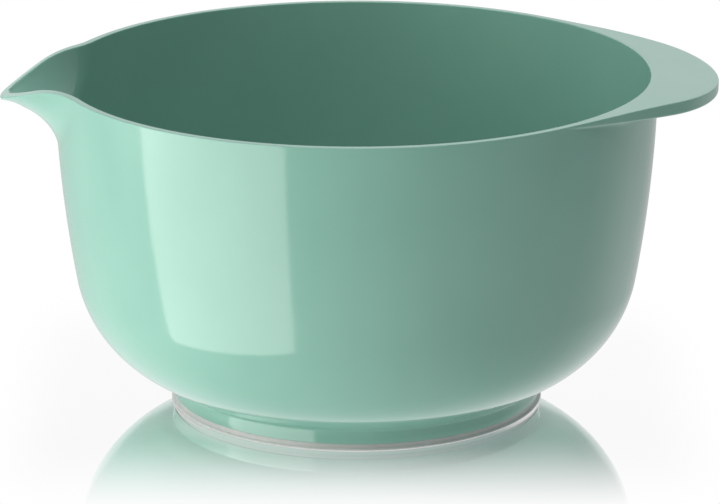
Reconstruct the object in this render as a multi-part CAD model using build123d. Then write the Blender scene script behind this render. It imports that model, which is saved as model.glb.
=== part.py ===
"""Mixing bowl with a pouring lip, a flange grip and a non-slip base ring.

Millimetres, +Z up. The origin is on the bowl's axis, on the face that rests on the table.
The pouring lip points to -X and the flange grip to +X; the bowl is symmetric about Y = 0.
"""
from build123d import *
from math import cos, sin, sqrt, tan, radians
import os

# ---- driving dimensions: bowl wall ----
rim_height = 134.0          # rim plane above the table
rim_radius = 119.0          # outer radius of the wall at the rim
wall = 3.0                  # moulded wall thickness
wall_arc_radius = 516.0     # long convex arc of the side wall
wall_top_lean = 0.65        # degrees from vertical at the rim
wall_low_lean = 9.84        # degrees from vertical where the corner arc takes over
corner_radius = 51.5        # arc between side wall and underside
corner_end = 61.0           # degrees from vertical where the corner becomes a straight cone

# ---- driving dimensions: foot ----
foot_radius = 73.5
foot_inner_radius = 66.5
foot_root_round = 1.2       # round between the foot and the underside
ring_height = 3.1           # visible height of the base ring under the foot
floor_under = 9.0           # underside of the bowl's floor above the table

# ---- driving dimensions: base ring ----
ring_rest_outer = 72.9      # outer radius of the flat resting face
ring_rest_inner = 68.0
ring_bead_radius = 74.2     # widest point of the lower bead
ring_bead_height = 1.4
ring_band_radius = 73.1     # plain band between the bead and the foot
ring_inner_radius = 67.0
ring_inner_height = 1.0     # where the inner edge round meets the inner wall
tongue_radius = 69.8        # middle of the tongue that pushes up into the foot
tongue_width = 2.2
tongue_top = 7.9
tongue_chamfer = 0.5
groove_clearance = 0.15     # each side of the tongue
groove_top = 8.2

# ---- driving dimensions: pouring lip ----
spout_pivot_x = -139.2      # axis, parallel to Y, that the channel bends about
spout_pivot_drop = 34.45    # depth of that axis below the rim plane
lip_wall = 2.4              # the lip is a little thinner than the wall
keel_outer_radius = 22.6    # underside of the channel, measured from the pivot
keel_inner_radius = keel_outer_radius + lip_wall
channel_radius = 60.0       # cross-section radius where the channel leaves the wall
channel_outer_end = 94.0    # degrees round the pivot where the cross-section closes
channel_inner_end = 85.5
channel_outer_power = 0.6   # how fast the cross-section narrows towards the tip
channel_inner_power = 0.7
lip_bend_start = 113.1      # distance from the axis where the lip starts to dip
lip_bend_radius = 30.0
lip_bend_angle = 26.3       # degrees; the lip runs straight after this
spout_blend_outer = 20.0    # round where the channel leaves the outside wall
spout_blend_inner = 8.0     # the same inside

# ---- driving dimensions: flange grip ----
grip_tip = 142.8            # reach from the bowl's axis
grip_tip_radius = 70.0      # outline of the outer end, seen from above
grip_leave_angle = 50.8     # degrees round the rim where the outline leaves it
grip_droop_start = 99.8     # the top face is flat up to here, then falls along an arc
grip_droop_radius = 326.0
grip_under_start = 69.6     # the underside rises out of the rim plane here
grip_under_knee = 115.0
grip_under_depth = 5.0      # depth at the knee
grip_tip_depth = 7.0        # depth at the tip

# ---- construction constants ----
over = 15.0                 # how far cutters and blanks run past the solid
wide = 160.0                # half-length of extrusions that cross the whole bowl
channel_stations = [0, 0.2, 0.38, 0.53, 0.66, 0.77, 0.86, 0.93, 0.98, 0.995]  # shares of the end angle
blend_search_reach = -80.0  # the channel's blend edge lies beyond this X
foot_root_search = ring_height + 1.0  # the foot's upper edge lies above this Z


def on_arc(centre, radius, lean):
    """Point on a profile arc where the wall leans this many degrees from vertical."""
    return (centre[0] + radius * cos(radians(lean)), centre[1] - radius * sin(radians(lean)))


# Centres of the two wall arcs, shared by the outer and inner surfaces.
wall_centre = (rim_radius - wall_arc_radius * cos(radians(wall_top_lean)),
               rim_height + wall_arc_radius * sin(radians(wall_top_lean)))
corner_centre = on_arc(wall_centre, wall_arc_radius - corner_radius, wall_low_lean)


def wall_radius(height, inset):
    """Radius of the upper wall surface at a height, inset from the outside."""
    rise = height - wall_centre[1]
    return wall_centre[0] + sqrt((wall_arc_radius - inset) ** 2 - rise ** 2)


def outer_body():
    """The bowl as a filled body of revolution, foot included."""
    top = (wall_radius(rim_height + over, 0), rim_height + over)
    knee = on_arc(wall_centre, wall_arc_radius, wall_low_lean)
    mid_wall = on_arc(wall_centre, wall_arc_radius, wall_low_lean / 2)
    mid_corner = on_arc(corner_centre, corner_radius, (wall_low_lean + corner_end) / 2)
    cone_top = on_arc(corner_centre, corner_radius, corner_end)
    cone_drop = (cone_top[0] - foot_radius) * tan(radians(90 - corner_end))
    foot_root = (foot_radius, cone_top[1] - cone_drop)
    with BuildPart() as part:
        with BuildSketch(Plane.XZ):
            with BuildLine():
                Polyline((0, top[1]), (0, floor_under), (foot_inner_radius, floor_under),
                         (foot_inner_radius, ring_height), (foot_radius, ring_height),
                         foot_root, cone_top)
                ThreePointArc(cone_top, mid_corner, knee)
                ThreePointArc(knee, mid_wall, top)
                Line(top, (0, top[1]))
            make_face()
        revolve(axis=Axis.Z)
    return part.part


def cavity():
    """The inside of the bowl as a body of revolution, open past the rim."""
    top = (wall_radius(rim_height + over, wall), rim_height + over)
    knee = on_arc(wall_centre, wall_arc_radius - wall, wall_low_lean)
    mid_wall = on_arc(wall_centre, wall_arc_radius - wall, wall_low_lean / 2)
    mid_corner = on_arc(corner_centre, corner_radius - wall, (wall_low_lean + 90) / 2)
    floor_edge = on_arc(corner_centre, corner_radius - wall, 90)
    with BuildPart() as part:
        with BuildSketch(Plane.XZ):
            with BuildLine():
                Polyline((0, top[1]), (0, floor_edge[1]), floor_edge)
                ThreePointArc(floor_edge, mid_corner, knee)
                ThreePointArc(knee, mid_wall, top)
                Line(top, (0, top[1]))
            make_face()
        revolve(axis=Axis.Z)
    return part.part


def channel(keel_radius, end_angle, power):
    """Channel solid: half-round sections, each on a plane through the pivot axis."""
    pivot_z = rim_height - spout_pivot_drop
    sections = []
    for share in channel_stations:
        angle = end_angle * share
        out = (cos(radians(angle)), 0, sin(radians(angle)))
        keel = (spout_pivot_x + keel_radius * out[0], 0, pivot_z + keel_radius * out[2])
        radius = channel_radius * (1 - share ** 2) ** power
        plane = Plane(origin=keel, x_dir=(0, 1, 0), z_dir=(out[2], 0, -out[0]))
        with BuildSketch(plane) as section:
            with BuildLine():
                ThreePointArc((-radius, radius), (0, 0), (radius, radius))
                Line((radius, radius), (-radius, radius))
            make_face()
        sections.append(section.sketch.face())
    return loft(sections)


def blend_channel(solid, radius):
    """Round the edge where the channel runs into the surface of revolution."""
    edges = [edge for edge in solid.edges()
             if edge.bounding_box().max.X < blend_search_reach
             and edge.bounding_box().min.Z < rim_height - over < edge.bounding_box().max.Z
             and edge.bounding_box().min.X > -rim_radius]
    return solid.fillet(radius, edges)


def grip_outline():
    """Outline of the flange from above: a side arc tangent to the rim, then the tip arc."""
    away = Vector(cos(radians(grip_leave_angle)), sin(radians(grip_leave_angle)))
    leave = away * rim_radius
    tip_centre = Vector(grip_tip - grip_tip_radius, 0)
    gap = leave - tip_centre
    side_radius = (gap.dot(gap) - grip_tip_radius ** 2) / (2 * (gap.dot(away) - grip_tip_radius))
    side_centre = leave - away * side_radius
    join = tip_centre + (tip_centre - side_centre).normalized() * grip_tip_radius
    side_mid = side_centre + ((leave + join) * 0.5 - side_centre).normalized() * side_radius
    with BuildSketch() as outline:
        with BuildLine():
            half = [ThreePointArc(leave, side_mid, join)]
            ThreePointArc(join, (grip_tip, 0), (join.X, -join.Y))
            mirror(half, about=Plane.XZ)
            Line((leave.X, -leave.Y), leave)
        make_face()
    return outline.sketch


def grip_blank():
    """The flange: its plan outline, cut to the rising underside."""
    knee_z = rim_height - grip_under_depth
    ramp = (grip_under_knee - grip_under_start, -grip_under_depth)
    with BuildSketch(Plane.XZ) as side:
        with BuildLine():
            Line((grip_under_start, rim_height), (grip_under_knee, knee_z))
            TangentArc((grip_under_knee, knee_z), (grip_tip, rim_height - grip_tip_depth), tangent=ramp)
            Polyline((grip_tip, rim_height - grip_tip_depth), (grip_tip, rim_height + over),
                     (grip_under_start, rim_height + over), (grip_under_start, rim_height))
        make_face()
    slab = extrude(side.sketch, amount=wide, both=True)
    plan = extrude(grip_outline(), amount=rim_height + over)
    return slab & plan


def above_rim():
    """Everything above the rim plane, the dipping lip and the drooping flange."""
    bend = radians(lip_bend_angle)
    bend_end = (-lip_bend_start - lip_bend_radius * sin(bend), rim_height - lip_bend_radius * (1 - cos(bend)))
    run = wide + bend_end[0]
    lip_far = (-wide, bend_end[1] - run * tan(bend))
    grip_run = wide - grip_droop_start
    grip_far = (wide, rim_height - grip_droop_radius + sqrt(grip_droop_radius ** 2 - grip_run ** 2))
    top = rim_height + 2 * over
    with BuildSketch(Plane.XZ) as side:
        with BuildLine():
            Line(lip_far, bend_end)
            RadiusArc(bend_end, (-lip_bend_start, rim_height), lip_bend_radius)
            Line((-lip_bend_start, rim_height), (grip_droop_start, rim_height))
            RadiusArc((grip_droop_start, rim_height), grip_far, grip_droop_radius)
            Polyline(grip_far, (wide, top), (-wide, top), lip_far)
        make_face()
    return extrude(side.sketch, amount=wide, both=True)


def ring_groove():
    """Groove in the foot that takes the base ring's tongue."""
    half = tongue_width / 2 + groove_clearance
    with BuildPart() as part:
        with BuildSketch(Plane.XZ):
            with Locations((tongue_radius, (groove_top + ring_height) / 2)):
                Rectangle(2 * half, groove_top - ring_height)
        revolve(axis=Axis.Z)
    return part.part


def bowl_shell():
    """One moulded piece: wall, foot, pouring lip and flange grip."""
    outside = outer_body() + channel(keel_outer_radius, channel_outer_end, channel_outer_power)
    outside = blend_channel(outside, spout_blend_outer)
    foot_root = outside.edges().filter_by(GeomType.CIRCLE).filter_by(
        lambda edge: edge.radius == foot_radius and edge.center().Z > foot_root_search)
    outside = outside.fillet(foot_root_round, foot_root) + grip_blank()
    inside = cavity() + channel(keel_inner_radius, channel_inner_end, channel_inner_power)
    inside = blend_channel(inside, spout_blend_inner)
    return outside - above_rim() - inside - ring_groove()


def base_ring():
    """Elastomer ring: resting face, outer bead, plain band and a tongue that pushes into the foot."""
    inner = tongue_radius - tongue_width / 2
    outer = tongue_radius + tongue_width / 2
    with BuildPart() as part:
        with BuildSketch(Plane.XZ):
            with BuildLine():
                Line((ring_rest_inner, 0), (ring_rest_outer, 0))
                TangentArc((ring_rest_outer, 0), (ring_bead_radius, ring_bead_height), tangent=(1, 0))
                Polyline((ring_bead_radius, ring_bead_height), (ring_band_radius, ring_bead_height),
                         (ring_band_radius, ring_height), (outer, ring_height),
                         (outer, tongue_top - tongue_chamfer), (outer - tongue_chamfer, tongue_top),
                         (inner + tongue_chamfer, tongue_top), (inner, tongue_top - tongue_chamfer),
                         (inner, ring_height), (ring_inner_radius, ring_height),
                         (ring_inner_radius, ring_inner_height))
                TangentArc((ring_rest_inner, 0), (ring_inner_radius, ring_inner_height), tangent=(-1, 0))
            make_face()
        revolve(axis=Axis.Z)
    return part.part


os.makedirs("parts", exist_ok=True)
export_step(bowl_shell(), "parts/bowl_shell.step")
export_step(base_ring(), "parts/base_ring.step")
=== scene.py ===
"""Looks of the mixing bowl: a moulded shell with a pouring lip and a flange grip, and its base ring.

The object's lengths are millimetres here, and its meshes are scaled to metres when they are made. Lamps,
the table top and the camera are in metres. The bowl's axis is Z, the pouring lip points to -X and the
flange grip to +X.
"""
import math
import bpy
import numpy as np
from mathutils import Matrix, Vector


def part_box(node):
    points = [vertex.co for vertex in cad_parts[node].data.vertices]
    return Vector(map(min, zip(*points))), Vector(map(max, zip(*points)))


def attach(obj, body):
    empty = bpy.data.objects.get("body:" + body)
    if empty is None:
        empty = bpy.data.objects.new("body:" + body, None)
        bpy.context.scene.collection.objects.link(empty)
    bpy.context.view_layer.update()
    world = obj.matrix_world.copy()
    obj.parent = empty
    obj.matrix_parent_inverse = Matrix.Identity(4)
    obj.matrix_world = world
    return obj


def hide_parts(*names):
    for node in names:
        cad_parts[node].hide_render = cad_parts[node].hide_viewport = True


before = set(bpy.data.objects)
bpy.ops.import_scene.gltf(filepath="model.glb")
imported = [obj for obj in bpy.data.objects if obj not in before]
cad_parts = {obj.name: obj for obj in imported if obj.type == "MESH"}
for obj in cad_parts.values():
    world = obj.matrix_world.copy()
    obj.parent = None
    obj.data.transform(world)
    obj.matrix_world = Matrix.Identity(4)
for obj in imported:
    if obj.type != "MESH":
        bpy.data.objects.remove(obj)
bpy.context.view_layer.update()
shell_low, shell_high = [np.array(corner) * 1000 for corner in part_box("bowl_shell")]
ring_high = np.array(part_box("base_ring")[1]) * 1000

# ---- sizes read from the frame ----
rim_height = shell_high[2]
rim_radius = shell_high[1]
grip_tip = shell_high[0]
foot_height = shell_low[2]          # the foot's lower face, where the base ring starts
tongue_top = ring_high[2]

# ---- bowl wall ----
wall = 3.0
wall_arc_radius = 516.0
wall_top_lean = math.radians(0.65)
wall_low_lean = math.radians(9.84)
corner_radius = 51.5
corner_end = math.radians(61.0)     # the corner arc becomes a straight cone here
foot_radius = 73.5
foot_inner_radius = 66.5
floor_under = 9.0
trace_start = 62.0                  # above this height the surfaces are traced column by column
pole_radius = 4.0                   # the floor and the underside end here in a fan to the axis
foot_rounds = (1.2, 0.35, 0.25, 0.25, 0.25, 0.25, 0.3, 1.2)     # one for each profile corner

# ---- base ring ----
tongue_radius = 69.8
tongue_width = 2.2
groove_clearance = 0.15
groove_top = 8.2
ring_inner_radius = 67.0
ring_rest_outer = 72.9
ring_bead_radius = ring_high[0]
ring_bead_height = 1.4
ring_band_radius = 73.1
ring_seam_radius = 70.0             # the profile starts and ends here, on the resting face
ring_bead_start = 0.55
ring_bead_crown = 0.35
ring_rounds = (0.5, 0.5, 0.3, 0.15, 0.2, 0.12, 0.4, 0.4, 0.12, 0.3, 0.8)    # one for each profile corner

# ---- pouring lip ----
pivot_x = -139.2                    # the channel bends about an axis along Y through this point
pivot_z = rim_height - 34.45
keel_outer, keel_inner = 22.6, 25.0
channel_radius = 60.0
outer_end, inner_end = math.radians(94.0), math.radians(85.5)
outer_power, inner_power = 0.6, 0.7
below_pivot_lean = 0.16             # the channel surface recedes under the wall below the pivot
nose_round = 1.6
lip_bend_start = 113.1
lip_bend_radius = 30.0
lip_bend_angle = math.radians(26.3)
outer_blend, inner_blend = 30.0, 34.0
blend_reach = 18.0                  # no fillet where the channel and the wall are further apart than this

# ---- flange grip ----
grip_tip_radius = 70.0
grip_leave_angle = math.radians(50.8)
grip_droop_start = 99.8
grip_droop_radius = 326.0
grip_under_start = 69.6
grip_under_knee = 115.0
grip_under_depth = 5.0
grip_tip_depth = 7.0
grip_root_round = 3.0
grip_edge_round = 0.8
root_round_reach = 1.17             # reach of the root's fillet on each face, as a share of its radius

# ---- edge rounds ----
rim_round = 0.3                     # how far the rim's edge rounds reach along each face
lip_extra_round, lip_round_spread = 0.55, 0.20          # more round at the lip's tip; spreads are radians
leave_round_cut, leave_round_spread = 0.45, 0.12        # less where the flange leaves the rim
widest_round = 0.4                  # share of the rim's width that one round may take
least_corner_weight = 0.3

# ---- mesh density ----
column_count = 420
lip_crowding, lip_crowding_spread = 2.6, 0.22           # extra columns for each even one; radians
leave_crowding, leave_crowding_spread = 1.5, 0.10
grip_crowding, grip_crowding_spread = 0.6, 0.7
angle_samples = 7201
outer_rows, inner_rows, top_rows, round_rows = 110, 70, 10, 6
corner_rows, floor_rows, wall_rows = 44, 16, 9
corner_points = 40
round_steps = 4
under_spacing, ring_spacing = 3.0, 1.5
ring_columns = 360

# ---- tracing and resampling ----
step = 0.2                          # length of one tracing step
probe = 0.004                       # distance over which a field's slope is measured
corrections = 2
least_slope = 0.05
longest_trace = 900
past_rim = 1.0                      # every trace runs at least this far over the top face
flange_trials = 400
resample_points = 600
bend_half_window = 9
bend_columns = 4                    # neighbouring columns over which the bend is averaged
bend_pull, bend_cap = 4.0, 1.2      # how much closer rows lie where the surface turns, and its limit
least_reach, tiny = 1e-6, 1e-9      # both keep divisions away from zero

# ---- colours and gloss ----
noise_range = (0.3, 0.7)            # noise mostly stays in this range
melamine_colours = (0.213, 0.430, 0.354), (0.230, 0.452, 0.373)
melamine_roughness = 0.085, 0.115
melamine_ior = 1.47
melamine_scales = 22.0, 60.0, 420.0                     # cloud, gloss and peel
peel_strength, peel_depth = 0.03, 0.0002
# the bead has the ring's own light grey; the band above it gets a darker grey as painted shade
bead_colours = (0.78, 0.74, 0.75), (0.84, 0.80, 0.81)
band_painted_shade_colours = (0.46, 0.47, 0.46), (0.51, 0.52, 0.51)
band_edge = 0.0003                  # half the width over which the bead colour changes to the band's painted shade, in metres
elastomer_roughness = 0.28, 0.4
elastomer_ior = 1.45
elastomer_scales = 90.0, 300.0, 2500.0                  # cloud, gloss and grain
grain_strength, grain_depth = 0.1, 0.0001

# ---- softbox, in metres ----
key_colour = (1.03, 1.0, 0.965)
key_azimuth = -55.6                 # degrees; 0 is towards the camera, -90 towards -X
key_distance, key_width = 1.3, 1.495
key_bottom, key_middle, key_top = -1.0, 0.0, 0.9
key_low_strength, key_high_strength = 3.5, 1.9

# ---- surroundings ----
room_strength = 0.15                # from every direction; the next ones come on top of it
overhead_strength = 2.3
below_strength = 0.5
back_strength = 0.4
far_wall_strength = 0.40            # only straight behind the bowl, where the table's mirror image looks
beside_key_strength = 1.5           # the wall just behind the softbox, lit by its spill
left_strength = 0.3
right_strength = 0.25

# Where each of them starts and where it has its full strength, as direction cosines along its axis.
overhead_span = 0.75, 0.98
below_span = -0.2, -0.6
back_span = 0.1, 0.7
far_wall_span = 0.90, 0.94
beside_key_span = -0.88, -1.0
left_span = -0.5, -0.95
right_span = 0.4, 0.9
above_table_span = -0.05, 0.08
horizon_span = 0.6, 0.3             # the lights from the sides end above this band

# ---- table top, in metres ----
table_half_size = 6.0
table_mirror = 0.92                 # share of mirror image in the table top beside the bowl
mirror_roughness = 0.02
mirror_depth_span = 0.15, 0.05      # gone and full distance of the mirror image from the axis, along Y
mirror_width_span = 0.15, 0.11      # and along X
# painted shade on the table top round the foot, laid over its mirror image; lighter on the left, darker on
# the right
contact_share = 0.9
contact_span = 0.088, 0.076         # gone and full distance of the shade round the foot, from the axis
contact_depth_span = 0.025, 0.055   # and along Y, so that there is none beside the foot
contact_shade_left, contact_shade_right = (0.52, 0.66, 0.60), (0.25, 0.33, 0.31)
contact_side = 0.07                 # the painted shade's two tones change over from minus this to plus this along X
shade_radius, shade_corners, shade_depth = 0.095, 64, 0.0005
shade_colour = (0.68, 0.66, 0.66)
shade_glow_left, table_glow = 0.12, 0.6                 # light that the shaded table top gives the foot
shade_glow_span = -0.08, 0.03

# ---- camera, in metres and degrees ----
camera_place = (0.00145, -1.69954, 0.56238)
camera_pitch = 16.498
camera_lens, sensor_width, clip_end = 222.1, 36.0, 20.0


# ---- profile of the wall ----
def on_arc(centre, radius, lean):
    """The point of a profile arc where the surface leans this much from vertical."""
    return np.array([centre[0] + radius * math.cos(lean), centre[1] - radius * math.sin(lean)])


wall_centre = np.array([rim_radius - wall_arc_radius * math.cos(wall_top_lean),
                        rim_height + wall_arc_radius * math.sin(wall_top_lean)])
corner_centre = on_arc(wall_centre, wall_arc_radius - corner_radius, wall_low_lean)


def wall_radius(height, inset):
    """Radius of the wall's arc at a height, moved in from the outside by the inset."""
    rise = height - wall_centre[1]
    return wall_centre[0] + np.sqrt((wall_arc_radius - inset) ** 2 - rise ** 2)


def arc(centre, radius, start, end, count):
    """Points on a profile arc; the angles are leans from vertical."""
    return [on_arc(centre, radius, lean) for lean in np.linspace(start, end, count)]


def rounded(points, radii):
    """A profile polyline with an arc of the given radius at each inner corner."""
    points = [np.array(p, float) for p in points]
    path = [points[0]]
    for before, corner, after, radius in zip(points, points[1:], points[2:], radii):
        back, ahead = before - corner, after - corner
        back, ahead = back / np.linalg.norm(back), ahead / np.linalg.norm(ahead)
        half = math.acos(np.clip(np.dot(back, ahead), -1, 1)) / 2
        reach = radius / math.tan(half)
        weight = math.sin(half)
        for t in np.linspace(0, 1, round_steps + 1):
            parts = ((1 - t) ** 2, 2 * t * (1 - t) * weight, t ** 2)
            spots = (corner + back * reach, corner, corner + ahead * reach)
            path.append(sum(a * p for a, p in zip(parts, spots)) / sum(parts))
    return path + [points[-1]]


def spread(path, spacing):
    """Adds points to the long runs of a profile, so that none is over the spacing."""
    out = [path[0]]
    for start, end in zip(path, path[1:]):
        count = max(1, math.ceil(np.linalg.norm(end - start) / spacing))
        out += [start + (end - start) * i / count for i in range(1, count + 1)]
    return out


# ---- surfaces as signed distances; the space that a field fills has negative values ----
def wall_field(x, y, z, inset):
    """The side wall's arc, with its outward normal."""
    radius = np.hypot(x, y)
    out, up = radius - wall_centre[0], z - wall_centre[1]
    length = np.hypot(out, up)
    normal = np.stack([x / radius * out / length, y / radius * out / length, up / length])
    return length - (wall_arc_radius - inset), normal


def channel_field(x, y, z, keel, end, power):
    """The pouring channel, on the lip's half of the bowl only. It is a row of U-shaped sections on planes
    through the pivot axis."""
    below = np.minimum(z - pivot_z, 0)
    radial = np.hypot(x - pivot_x, np.maximum(z - pivot_z, 0))
    angle = np.arctan2(np.maximum(z - pivot_z, 0), x - pivot_x)
    share = np.clip(angle / end, 0, 1)
    room = np.maximum(1 - share ** 2, tiny)
    section = channel_radius * room ** power
    slope = -channel_radius * power * room ** (power - 1) * 2 * share / end
    to_end = np.maximum(nose_round - radial * (end - angle), 0)
    rise = nose_round - np.sqrt(np.maximum(nose_round ** 2 - np.minimum(to_end, nose_round) ** 2, 0))
    depth = np.minimum(radial + below_pivot_lean * below - keel - rise - section, 0)
    length = np.maximum(np.hypot(y, depth), tiny)
    across, down = y / length, depth / length
    around = -slope * (1 + down) / radial
    size = np.sqrt(1 + around ** 2)
    normal = np.stack([(down * np.cos(angle) - around * np.sin(angle)) / size,
                       across / size,
                       (down * np.sin(angle) + around * np.cos(angle)
                        + np.where(below < 0, below_pivot_lean * down, 0)) / size])
    distance = np.maximum((length - section) / size, radial * (angle - end))
    return np.where(x < 0, distance, channel_radius), normal


def blend(a, b, radius):
    """Union of two fields with a fillet; the fillet shrinks where the two surfaces are nearly parallel."""
    (first, first_normal), (second, second_normal) = a, b
    cosine = np.clip((first_normal * second_normal).sum(0), -1, 1)
    reach = np.minimum(4 * radius * (1 - np.sqrt((1 + cosine) / 2)), blend_reach) + least_reach
    overlap = np.maximum(reach - np.abs(first - second), 0) / reach
    return np.minimum(first, second) - overlap ** 2 * reach / 4


# ---- flange grip ----
leave = rim_radius * np.array([math.cos(grip_leave_angle), math.sin(grip_leave_angle)])
tip_centre = np.array([grip_tip - grip_tip_radius, 0.0])
gap = leave - tip_centre
side_radius = (gap @ gap - grip_tip_radius ** 2) / (2 * (gap @ leave / rim_radius - grip_tip_radius))
side_centre = leave - leave / rim_radius * side_radius
join_way = (tip_centre - side_centre) / np.linalg.norm(tip_centre - side_centre)
join_angle = math.atan2(join_way[1], join_way[0])
knee_height = rim_height - grip_under_depth


def under_height(x):
    """Underside of the flange: a ramp to the knee, then a gentle arc to the tip."""
    slope = -grip_under_depth / (grip_under_knee - grip_under_start)
    ramp = rim_height + slope * (x - grip_under_start)
    run, reach = x - grip_under_knee, grip_tip - grip_under_knee
    bow = (rim_height - grip_tip_depth - knee_height - slope * reach) / reach ** 2
    return np.where(x < grip_under_knee, ramp, knee_height + slope * run + bow * run ** 2)


def outline_distance(x, y):
    """Distance outside the flange's outline seen from above, and how far it stands out of the rim."""
    y = np.abs(y)
    at_tip = np.arctan2(y - tip_centre[1], x - tip_centre[0]) < join_angle
    side = np.hypot(x - side_centre[0], y - side_centre[1]) - side_radius
    tip = np.hypot(x - tip_centre[0], y - tip_centre[1]) - grip_tip_radius
    distance = np.where(at_tip, tip, side)
    beyond = np.arctan2(y, x) > grip_leave_angle
    return np.where(beyond, np.hypot(x, y) - rim_radius, distance)


def grip_field(x, y, z):
    """The flange as its outline met by its underside, with a small round between them."""
    out = outline_distance(x, y) + grip_edge_round
    down = under_height(x) - z + grip_edge_round
    both = np.hypot(np.maximum(out, 0), np.maximum(down, 0))
    return np.minimum(np.maximum(out, down), 0) + both - grip_edge_round


def outer_field(x, y, z, grip_width):
    """The whole outside, with the flange's root round kept under the flange's own width."""
    wall_part = wall_field(x, y, z, 0)
    body = blend(wall_part, channel_field(x, y, z, keel_outer, outer_end, outer_power), outer_blend)
    flange = grip_field(x, y, z)
    reach = root_round_reach * np.minimum(grip_root_round, 0.5 * grip_width) + least_reach
    overlap = np.maximum(reach - np.abs(body - flange), 0) / reach
    return np.where(x > grip_under_start, np.minimum(body, flange) - overlap ** 2 * reach / 4, body)


def inner_field(x, y, z):
    """The space inside the bowl and its pouring channel."""
    cavity = wall_field(x, y, z, wall)
    return blend(cavity, channel_field(x, y, z, keel_inner, inner_end, inner_power), inner_blend)


def top_height(x):
    """The rim plane, dipping at the pouring lip and drooping along the flange."""
    bend_run = lip_bend_radius * math.sin(lip_bend_angle)
    bend_drop = lip_bend_radius * (1 - math.cos(lip_bend_angle))
    past = -lip_bend_start - x
    on_bend = lip_bend_radius - np.sqrt(lip_bend_radius ** 2 - np.clip(past, 0, bend_run) ** 2)
    lip = np.where(past > bend_run, bend_drop + (past - bend_run) * math.tan(lip_bend_angle), on_bend)
    run = np.maximum(x - grip_droop_start, 0)
    droop = grip_droop_radius - np.sqrt(grip_droop_radius ** 2 - run ** 2)
    return rim_height - lip - droop


# ---- columns round the axis ----
def bell(distance, height, spread_width):
    """A smooth hump of this height round distance 0."""
    return height * np.exp(-(distance / spread_width) ** 2)


def column_angles():
    """Angles of the mesh columns, closer together at the pouring lip, where the flange leaves the rim and
    along the grip."""
    angle = np.linspace(-math.pi, math.pi, angle_samples)
    from_lip = math.pi - np.abs(angle)
    from_leave = np.abs(np.abs(angle) - grip_leave_angle)
    density = (1 + bell(from_lip, lip_crowding, lip_crowding_spread)
               + bell(from_leave, leave_crowding, leave_crowding_spread)
               + bell(angle, grip_crowding, grip_crowding_spread))
    total = np.concatenate([[0], np.cumsum((density[1:] + density[:-1]) / 2)])
    return np.interp(np.arange(column_count) / column_count * total[-1], total, angle)


angles = column_angles()
cosines, sines = np.cos(angles), np.sin(angles)


def flange_widths():
    """How far the flange stands out of the rim in each column."""
    trial = np.linspace(rim_radius, grip_tip + 1, flange_trials)[:, None]
    inside = outline_distance(trial * cosines, trial * sines) <= 0
    return np.where(inside.any(0), (trial * inside).max(0) - rim_radius, 0).clip(0)


def trace(field, inset):
    """Follows a surface up every column at once, from the trace's start to past the rim plane."""
    def value(p):
        return field(p[0] * cosines, p[0] * sines, p[1])

    def slope(p):
        out, up = np.array([[probe], [0]]), np.array([[0], [probe]])
        return np.stack([value(p + out) - value(p - out), value(p + up) - value(p - up)]) / (2 * probe)

    point = np.stack([np.full(column_count, wall_radius(trace_start, inset)),
                      np.full(column_count, trace_start)])
    path = [point]
    arrived = np.zeros(column_count, bool)
    while not arrived.all():
        way = slope(point)
        ahead = np.stack([-way[1], way[0]])
        point = point + ahead / np.linalg.norm(ahead, axis=0) * step
        for _ in range(corrections):
            way = slope(point)
            move = value(point) * way / np.maximum((way ** 2).sum(0), least_slope)
            point = point - move * np.minimum(1, step / np.maximum(np.linalg.norm(move, axis=0), tiny))
        path.append(point)
        arrived |= point[1] > top_height(point[0] * cosines) + past_rim
        if len(path) > longest_trace:
            raise RuntimeError("a surface trace didn't reach the rim plane")
    return np.array(path)


def cut_at_top(path):
    """For each column, the traced points up to the top face, ending exactly on it."""
    columns = []
    for i in range(column_count):
        run = path[:, :, i]
        above = run[:, 1] - top_height(run[:, 0] * cosines[i])
        last = int(np.argmax(above > 0))
        share = above[last - 1] / (above[last - 1] - above[last])
        columns.append(np.vstack([run[:last], run[last - 1] * (1 - share) + run[last] * share]))
    return columns


def smooth_around(table, width):
    """Averages neighbouring columns with a bell-shaped weight; table is columns by samples."""
    reach = np.arange(-3 * width, 3 * width + 1)
    weights = np.exp(-(reach / width) ** 2)
    return sum(np.roll(table, int(s), axis=0) * w for s, w in zip(reach, weights)) / weights.sum()


def resample(columns, rows, reach):
    """The same number of rows in every column, closer where the surface turns, and stopping short of the
    top edge so that the edge's round can start there."""
    share = np.linspace(0, 1, resample_points)
    window = np.hanning(2 * bend_half_window + 1)
    even, bend = [], []
    for run, stop in zip(columns, reach):
        distance = np.concatenate([[0], np.cumsum(np.linalg.norm(np.diff(run, axis=0), axis=1))])
        length = distance[-1] - stop
        points = np.stack([np.interp(share * length, distance, run[:, k]) for k in (0, 1)], axis=1)
        way = np.diff(points, axis=0)
        turn = np.abs(np.diff(np.unwrap(np.arctan2(way[:, 1], way[:, 0]))))
        turn = np.convolve(np.pad(turn, bend_half_window + 1, mode="edge"), window / window.sum(), "same")
        bend.append(turn[bend_half_window:-bend_half_window] * resample_points / length)
        even.append(points)
    index = np.arange(resample_points)
    out = []
    for points, turn in zip(even, smooth_around(np.array(bend), bend_columns)):
        weight = 1 + bend_pull * np.minimum(turn, bend_cap)
        total = np.concatenate([[0], np.cumsum((weight[1:] + weight[:-1]) / 2)])
        at = np.interp(np.linspace(0, total[-1], rows), total, index)
        out.append(np.stack([np.interp(at, index, points[:, k]) for k in (0, 1)], axis=1))
    return np.array(out)


def corner_round(start, corner, end, count):
    """A round through a corner, from one face to the next, without its two end points."""
    middle = (start + end) / 2
    half_turn = np.linalg.norm(end - start, axis=1) / 2
    side = np.linalg.norm(corner - start, axis=1) + tiny
    weight = np.clip(half_turn / side, least_corner_weight, 1)[:, None]
    out = []
    for t in np.linspace(0, 1, count + 2)[1:-1]:
        a, b, c = (1 - t) ** 2, 2 * t * (1 - t) * weight, t ** 2
        out.append((a * start + b * corner + c * end) / (a + b + c))
    return out


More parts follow.
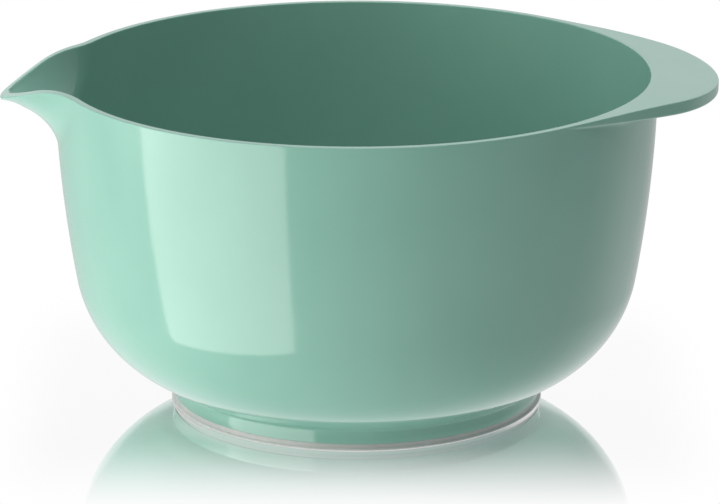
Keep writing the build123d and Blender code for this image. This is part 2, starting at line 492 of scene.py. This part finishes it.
def bowl_rows():
    """Every row of the shell's surface, from the middle of the underside over the rim to the middle of the
    inside. A row is an array of radius and height for each column."""
    flange = flange_widths()
    outer = cut_at_top(trace(lambda x, y, z: outer_field(x, y, z, flange), 0))
    inner = cut_at_top(trace(inner_field, wall))
    outer_top = np.array([run[-1] for run in outer])
    inner_top = np.array([run[-1] for run in inner])
    rim_width = outer_top[:, 0] - inner_top[:, 0]
    reach = rim_round + bell(math.pi - np.abs(angles), lip_extra_round, lip_round_spread)
    reach = np.minimum(reach, widest_round * rim_width)
    outer_reach = reach * (1 - bell(np.abs(angles) - grip_leave_angle, leave_round_cut, leave_round_spread))
    outer_part = resample(outer, outer_rows, outer_reach)
    inner_part = resample(inner, inner_rows, reach)

    def on_top(radius):
        return np.stack([radius, top_height(radius * cosines)], axis=1)

    top_start, top_end = on_top(outer_top[:, 0] - outer_reach), on_top(inner_top[:, 0] + reach)
    rows = [np.tile(point, (column_count, 1)) for point in under_profile()]
    rows += list(outer_part.transpose(1, 0, 2))
    rows += corner_round(outer_part[:, -1], outer_top, top_start, round_rows)
    for share in np.linspace(0, 1, top_rows):
        rows.append(on_top(top_start[:, 0] * (1 - share) + top_end[:, 0] * share))
    rows += corner_round(top_end, inner_top, inner_part[:, -1], round_rows)
    rows += list(inner_part.transpose(1, 0, 2)[::-1])
    rows += [np.tile(point, (column_count, 1)) for point in inside_profile()]
    return rows


def under_profile():
    """The profile from the middle of the underside round the foot and up to the trace's start."""
    cone_top = on_arc(corner_centre, corner_radius, corner_end)
    root = np.array([foot_radius, cone_top[1] - (cone_top[0] - foot_radius) / math.tan(corner_end)])
    half = tongue_width / 2 + groove_clearance
    foot = [(pole_radius, floor_under), (foot_inner_radius, floor_under), (foot_inner_radius, foot_height),
            (tongue_radius - half, foot_height), (tongue_radius - half, groove_top),
            (tongue_radius + half, groove_top), (tongue_radius + half, foot_height),
            (foot_radius, foot_height), root, cone_top]
    path = spread(rounded(foot, foot_rounds), under_spacing)
    path += arc(corner_centre, corner_radius, corner_end, wall_low_lean, corner_points)[1:]
    wall_start = on_arc(wall_centre, wall_arc_radius, wall_low_lean)[1]
    height = np.linspace(wall_start, trace_start, wall_rows)[1:-1]
    return path + [np.array([wall_radius(z, 0), z]) for z in height]


def inside_profile():
    """The profile from the trace's start down the inner wall to the middle of the floor."""
    wall_end = on_arc(wall_centre, wall_arc_radius - wall, wall_low_lean)[1]
    height = np.linspace(trace_start, wall_end, wall_rows)[1:-1]
    path = [np.array([wall_radius(z, wall), z]) for z in height]
    corner = arc(corner_centre, corner_radius - wall, wall_low_lean, math.pi / 2, corner_rows)
    flat = np.linspace(corner[-1][0], pole_radius, floor_rows)[1:]
    return path + corner + [np.array([radius, corner[-1][1]]) for radius in flat]


# ---- meshes ----
def add_mesh(name, vertices, faces):
    """A mesh object with this name, linked to the scene."""
    mesh = bpy.data.meshes.new(name)
    mesh.from_pydata(vertices, [], faces)
    piece = bpy.data.objects.new(name, mesh)
    bpy.context.scene.collection.objects.link(piece)
    return piece


def lathe_mesh(name, rows, cosine, sine, closed):
    """A mesh of rows by columns. Open ends are closed by a fan to the axis; a closed one joins its last row
    to its first."""
    count = len(cosine)
    points = np.array([np.stack([row[:, 0] * cosine, row[:, 0] * sine, row[:, 1]], axis=1) for row in rows])
    vertices = (points.reshape(-1, 3) / 1000).tolist()
    faces = []
    levels = len(rows) if closed else len(rows) - 1
    for i in range(levels):
        low, high = i * count, (i + 1) % len(rows) * count
        for j in range(count):
            k = (j + 1) % count
            faces.append((low + j, low + k, high + k, high + j))
    if not closed:
        for row, flip in ((0, True), (len(rows) - 1, False)):
            middle = len(vertices)
            vertices.append([0.0, 0.0, rows[row][0, 1] / 1000])
            for j in range(count):
                a, b = row * count + j, row * count + (j + 1) % count
                faces.append((b, a, middle) if flip else (a, b, middle))
    piece = add_mesh(name, vertices, faces)
    piece.data.validate()
    piece.data.polygons.foreach_set("use_smooth", [True] * len(piece.data.polygons))
    piece.data.update()
    return piece


def make_ring():
    """The base ring: resting face, bead, plain band and the tongue in the foot's groove."""
    inner, outer = tongue_radius - tongue_width / 2, tongue_radius + tongue_width / 2
    seam = (ring_seam_radius, 0)
    profile = [seam, (ring_rest_outer, 0), (ring_bead_radius, ring_bead_start),
               (ring_bead_radius, ring_bead_height - ring_bead_crown),
               (ring_band_radius, ring_bead_height), (ring_band_radius, foot_height),
               (outer, foot_height), (outer, tongue_top), (inner, tongue_top), (inner, foot_height),
               (ring_inner_radius, foot_height), (ring_inner_radius, 0), seam]
    path = spread(rounded(profile, ring_rounds), ring_spacing)[:-1]
    turn = np.linspace(0, 2 * math.pi, ring_columns, endpoint=False)
    rows = [np.tile(point, (ring_columns, 1)) for point in path]
    return lathe_mesh("base_ring_shown", rows, np.cos(turn), np.sin(turn), True)


# ---- materials ----
def new_material(name):
    """A material, its node tree and its Principled shader."""
    material = bpy.data.materials.new(name)
    material.use_nodes = True
    return material, material.node_tree, material.node_tree.nodes["Principled BSDF"]


def feed(tree, given, into):
    """Links a socket to an input, or sets the input to a number or a colour."""
    if isinstance(given, float):
        into.default_value = given
    elif isinstance(given, tuple):
        into.default_value = (*given, 1)
    else:
        tree.links.new(given, into)


def map_range(tree, value, start, end, low, high, kind):
    node = tree.nodes.new("ShaderNodeMapRange")
    node.interpolation_type = kind
    node.inputs["From Min"].default_value = start
    node.inputs["From Max"].default_value = end
    node.inputs["To Min"].default_value = low
    node.inputs["To Max"].default_value = high
    tree.links.new(value, node.inputs["Value"])
    return node.outputs["Result"]


def smooth_ramp(tree, value, start, end, low, high):
    """A factor that changes smoothly from low to high while the value goes from start to end."""
    return map_range(tree, value, start, end, low, high, "SMOOTHSTEP")


def ramp_over(tree, value, span, full):
    """A factor that is 0 at the span's first value and smoothly reaches its full size at the second."""
    start, end = span
    if start < end:
        return smooth_ramp(tree, value, start, end, 0.0, full)
    return smooth_ramp(tree, value, end, start, full, 0.0)


def noise(tree, scale, detail, low, high):
    """Object-space noise mapped to a range; returns the mapped value's socket."""
    place = tree.nodes.new("ShaderNodeTexCoord")
    texture = tree.nodes.new("ShaderNodeTexNoise")
    texture.inputs["Scale"].default_value = scale
    texture.inputs["Detail"].default_value = detail
    tree.links.new(place.outputs["Object"], texture.inputs["Vector"])
    return map_range(tree, texture.outputs["Fac"], *noise_range, low, high, "LINEAR")


def combine(tree, operation, first, second):
    """A math node on two sockets, or on a socket and a number."""
    node = tree.nodes.new("ShaderNodeMath")
    node.operation = operation
    feed(tree, first, node.inputs[0])
    feed(tree, second, node.inputs[1])
    return node.outputs["Value"]


def coordinates(tree, kind):
    """The coordinate vector's socket and the sockets of its X, Y and Z."""
    place = tree.nodes.new("ShaderNodeTexCoord")
    split = tree.nodes.new("ShaderNodeSeparateXYZ")
    tree.links.new(place.outputs[kind], split.inputs["Vector"])
    return place.outputs[kind], split.outputs["X"], split.outputs["Y"], split.outputs["Z"]


def vector_length(tree, vector):
    node = tree.nodes.new("ShaderNodeVectorMath")
    node.operation = "LENGTH"
    tree.links.new(vector, node.inputs[0])
    return node.outputs["Value"]


def mix_shader(tree, factor, first, second):
    mixer = tree.nodes.new("ShaderNodeMixShader")
    tree.links.new(factor, mixer.inputs["Fac"])
    tree.links.new(first, mixer.inputs[1])
    tree.links.new(second, mixer.inputs[2])
    return mixer.outputs["Shader"]


def mix_colour(tree, factor, first, second):
    """Goes from the first colour to the second with the factor; each is a socket or three numbers."""
    mixer = tree.nodes.new("ShaderNodeMix")
    mixer.data_type = "RGBA"
    tree.links.new(factor, mixer.inputs["Factor"])
    feed(tree, first, mixer.inputs["A"])
    feed(tree, second, mixer.inputs["B"])
    return mixer.outputs["Result"]


def bump(tree, height, strength, distance):
    node = tree.nodes.new("ShaderNodeBump")
    node.inputs["Strength"].default_value = strength
    node.inputs["Distance"].default_value = distance
    tree.links.new(height, node.inputs["Height"])
    return node.outputs["Normal"]


def melamine():
    """Glossy moulded plastic: faint cloudiness in the colour, uneven gloss and a trace of orange peel."""
    material, tree, shader = new_material("melamine_gloss")
    cloud_scale, gloss_scale, peel_scale = melamine_scales
    cloud = noise(tree, cloud_scale, 3.0, 0.0, 1.0)
    gloss = noise(tree, gloss_scale, 4.0, *melamine_roughness)
    peel = bump(tree, noise(tree, peel_scale, 2.0, 0.0, 1.0), peel_strength, peel_depth)
    tree.links.new(mix_colour(tree, cloud, *melamine_colours), shader.inputs["Base Color"])
    tree.links.new(gloss, shader.inputs["Roughness"])
    tree.links.new(peel, shader.inputs["Normal"])
    shader.inputs["IOR"].default_value = melamine_ior
    return material


def elastomer():
    """Grey ring, slightly cloudy and less glossy than the bowl, with painted shade on the band above its
    bead.
    """
    material, tree, shader = new_material("elastomer_satin")
    cloud_scale, gloss_scale, grain_scale = elastomer_scales
    cloud = noise(tree, cloud_scale, 3.0, 0.0, 1.0)
    gloss = noise(tree, gloss_scale, 3.0, *elastomer_roughness)
    grain = bump(tree, noise(tree, grain_scale, 2.0, 0.0, 1.0), grain_strength, grain_depth)
    _, _, _, z = coordinates(tree, "Object")
    edge = ring_bead_height / 1000
    rise = smooth_ramp(tree, z, edge - band_edge, edge + band_edge, 0.0, 1.0)
    # the band above the bead gets painted shade, a darker copy of the ring's grey
    bead, band = mix_colour(tree, cloud, *bead_colours), mix_colour(tree, cloud, *band_painted_shade_colours)
    tree.links.new(mix_colour(tree, rise, bead, band), shader.inputs["Base Color"])
    tree.links.new(gloss, shader.inputs["Roughness"])
    tree.links.new(grain, shader.inputs["Normal"])
    shader.inputs["IOR"].default_value = elastomer_ior
    return material


# ---- pieces ----
def make_pieces():
    shell = lathe_mesh("bowl_shell_shown", bowl_rows(), cosines, sines, False)
    shell.data.materials.append(melamine())
    ring = make_ring()
    ring.data.materials.append(elastomer())
    for piece, node, body, slot in ((shell, "bowl_shell", "bowl", "melamine"),
                                    (ring, "base_ring", "ring", "elastomer")):
        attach(piece, body)
        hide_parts(node)


# ---- stage, light and camera ----
def contact_shade_factor(tree, place, y_size):
    """How much of the table's shade round the foot shows."""
    close = ramp_over(tree, vector_length(tree, place), contact_span, contact_share)
    return combine(tree, "MULTIPLY", close, ramp_over(tree, y_size, contact_depth_span, 1.0))


def mirror_factor(tree, x_size, y_size):
    """How much of the table is mirror; it fades out away from the bowl."""
    return combine(tree, "MULTIPLY", ramp_over(tree, x_size, mirror_width_span, 1.0),
                   ramp_over(tree, y_size, mirror_depth_span, table_mirror))


def emission(tree, colour):
    node = tree.nodes.new("ShaderNodeEmission")
    feed(tree, colour, node.inputs["Color"])
    return node.outputs["Emission"]


def make_floor():
    """A white glossy table top whose mirror image fades away from the bowl, with a shade round the foot.
    It is shown to the camera only, so that the soft lights can reach below table level."""
    size = table_half_size
    corners = [(-size, -size, 0), (size, -size, 0), (size, size, 0), (-size, size, 0)]
    floor = add_mesh("floor", corners, [(0, 1, 2, 3)])
    material, tree, shader = new_material("table_white")
    tree.nodes.remove(shader)
    place, x, y, _ = coordinates(tree, "Object")
    x_size = combine(tree, "ABSOLUTE", x, 0.0)
    y_size = combine(tree, "ABSOLUTE", y, 0.0)
    mirror = tree.nodes.new("ShaderNodeBsdfGlossy")
    mirror.inputs["Color"].default_value = (1, 1, 1, 1)
    mirror.inputs["Roughness"].default_value = mirror_roughness
    # painted shade round the foot, lighter on the left and darker on the right
    side = smooth_ramp(tree, x, -contact_side, contact_side, 0.0, 1.0)
    shade = emission(tree, mix_colour(tree, side, contact_shade_left, contact_shade_right))
    table = mix_shader(tree, mirror_factor(tree, x_size, y_size), emission(tree, (1.0, 1.0, 1.0)),
                       mirror.outputs["BSDF"])
    top = mix_shader(tree, contact_shade_factor(tree, place, y_size), table, shade)
    tree.links.new(top, tree.nodes["Material Output"].inputs["Surface"])
    floor.data.materials.append(material)
    floor.visible_diffuse = False
    floor.visible_glossy = False
    floor.visible_shadow = False


def background(tree, strength):
    node = tree.nodes.new("ShaderNodeBackground")
    node.inputs["Color"].default_value = (1, 1, 1, 1)
    feed(tree, strength, node.inputs["Strength"])
    return node.outputs["Background"]


def make_world():
    """Soft white surroundings: most light comes from straight above, a little from the sides and from
    below. The camera sees plain white."""
    world = bpy.data.worlds.new("studio")
    bpy.context.scene.world = world
    world.use_nodes = True
    tree = world.node_tree
    tree.nodes.clear()
    _, x, y, z = coordinates(tree, "Generated")
    strength = smooth_ramp(tree, z, *overhead_span, room_strength, room_strength + overhead_strength)
    strength = combine(tree, "ADD", strength, ramp_over(tree, z, below_span, below_strength))
    near_horizon = ramp_over(tree, z, horizon_span, 1.0)
    above_table = ramp_over(tree, z, above_table_span, 1.0)
    far_wall = ramp_over(tree, y, far_wall_span, far_wall_strength)
    for side in (ramp_over(tree, y, back_span, back_strength),
                 combine(tree, "MULTIPLY", far_wall, above_table),
                 ramp_over(tree, x, beside_key_span, beside_key_strength),
                 ramp_over(tree, x, left_span, left_strength),
                 ramp_over(tree, x, right_span, right_strength)):
        strength = combine(tree, "ADD", strength, combine(tree, "MULTIPLY", side, near_horizon))
    seen = tree.nodes.new("ShaderNodeLightPath")
    mixed = mix_shader(tree, seen.outputs["Is Camera Ray"], background(tree, strength),
                       background(tree, 1.0))
    output = tree.nodes.new("ShaderNodeOutputWorld")
    tree.links.new(mixed, output.inputs["Surface"])


def softbox(name, low, high, radiance):
    """A rectangular light between two heights that faces the bowl's axis."""
    light = bpy.data.lights.new(name, "AREA")
    light.shape = "RECTANGLE"
    light.size, light.size_y = key_width, high - low
    light.energy = radiance * math.pi * light.size * light.size_y
    light.color = key_colour
    box = bpy.data.objects.new(name, light)
    bpy.context.scene.collection.objects.link(box)
    turn = math.radians(key_azimuth)
    box.location = (key_distance * math.sin(turn), -key_distance * math.cos(turn), (low + high) / 2)
    box.rotation_euler = (math.pi / 2, 0, turn)


def make_lights():
    """One tall softbox on the left, brighter in its lower half. It reaches below table level, so its image
    ends low on the wall."""
    softbox("key_low", key_bottom, key_middle, key_low_strength)
    softbox("key_high", key_middle, key_top, key_high_strength)


def make_contact_shade():
    """A pale disc just under the table top that keeps the light from below off the foot, as a solid table
    would. It glows, more on the right, and is hidden from the camera and from reflections."""
    turns = [2 * math.pi * i / shade_corners for i in range(shade_corners)]
    edge = [(shade_radius * math.cos(a), shade_radius * math.sin(a), -shade_depth) for a in turns]
    disc = add_mesh("contact_shade", edge, [range(shade_corners)])
    material, tree, shader = new_material("table_shade")
    shader.inputs["Base Color"].default_value = (*shade_colour, 1)
    shader.inputs["Emission Color"].default_value = (1, 1, 1, 1)
    _, x, _, _ = coordinates(tree, "Object")
    glow = smooth_ramp(tree, x, *shade_glow_span, shade_glow_left, table_glow)
    tree.links.new(glow, shader.inputs["Emission Strength"])
    disc.data.materials.append(material)
    disc.visible_camera = False
    disc.visible_glossy = False


def make_camera():
    camera = bpy.data.cameras.new("camera")
    camera.lens = camera_lens
    camera.sensor_width = sensor_width
    camera.clip_end = clip_end
    holder = bpy.data.objects.new("camera", camera)
    bpy.context.scene.collection.objects.link(holder)
    holder.location = camera_place
    holder.rotation_euler = (math.radians(90 - camera_pitch), 0, 0)
    bpy.context.scene.camera = holder


make_pieces()
make_floor()
make_world()
make_lights()
make_contact_shade()
make_camera()
bpy.context.scene.view_settings.view_transform = "Standard"
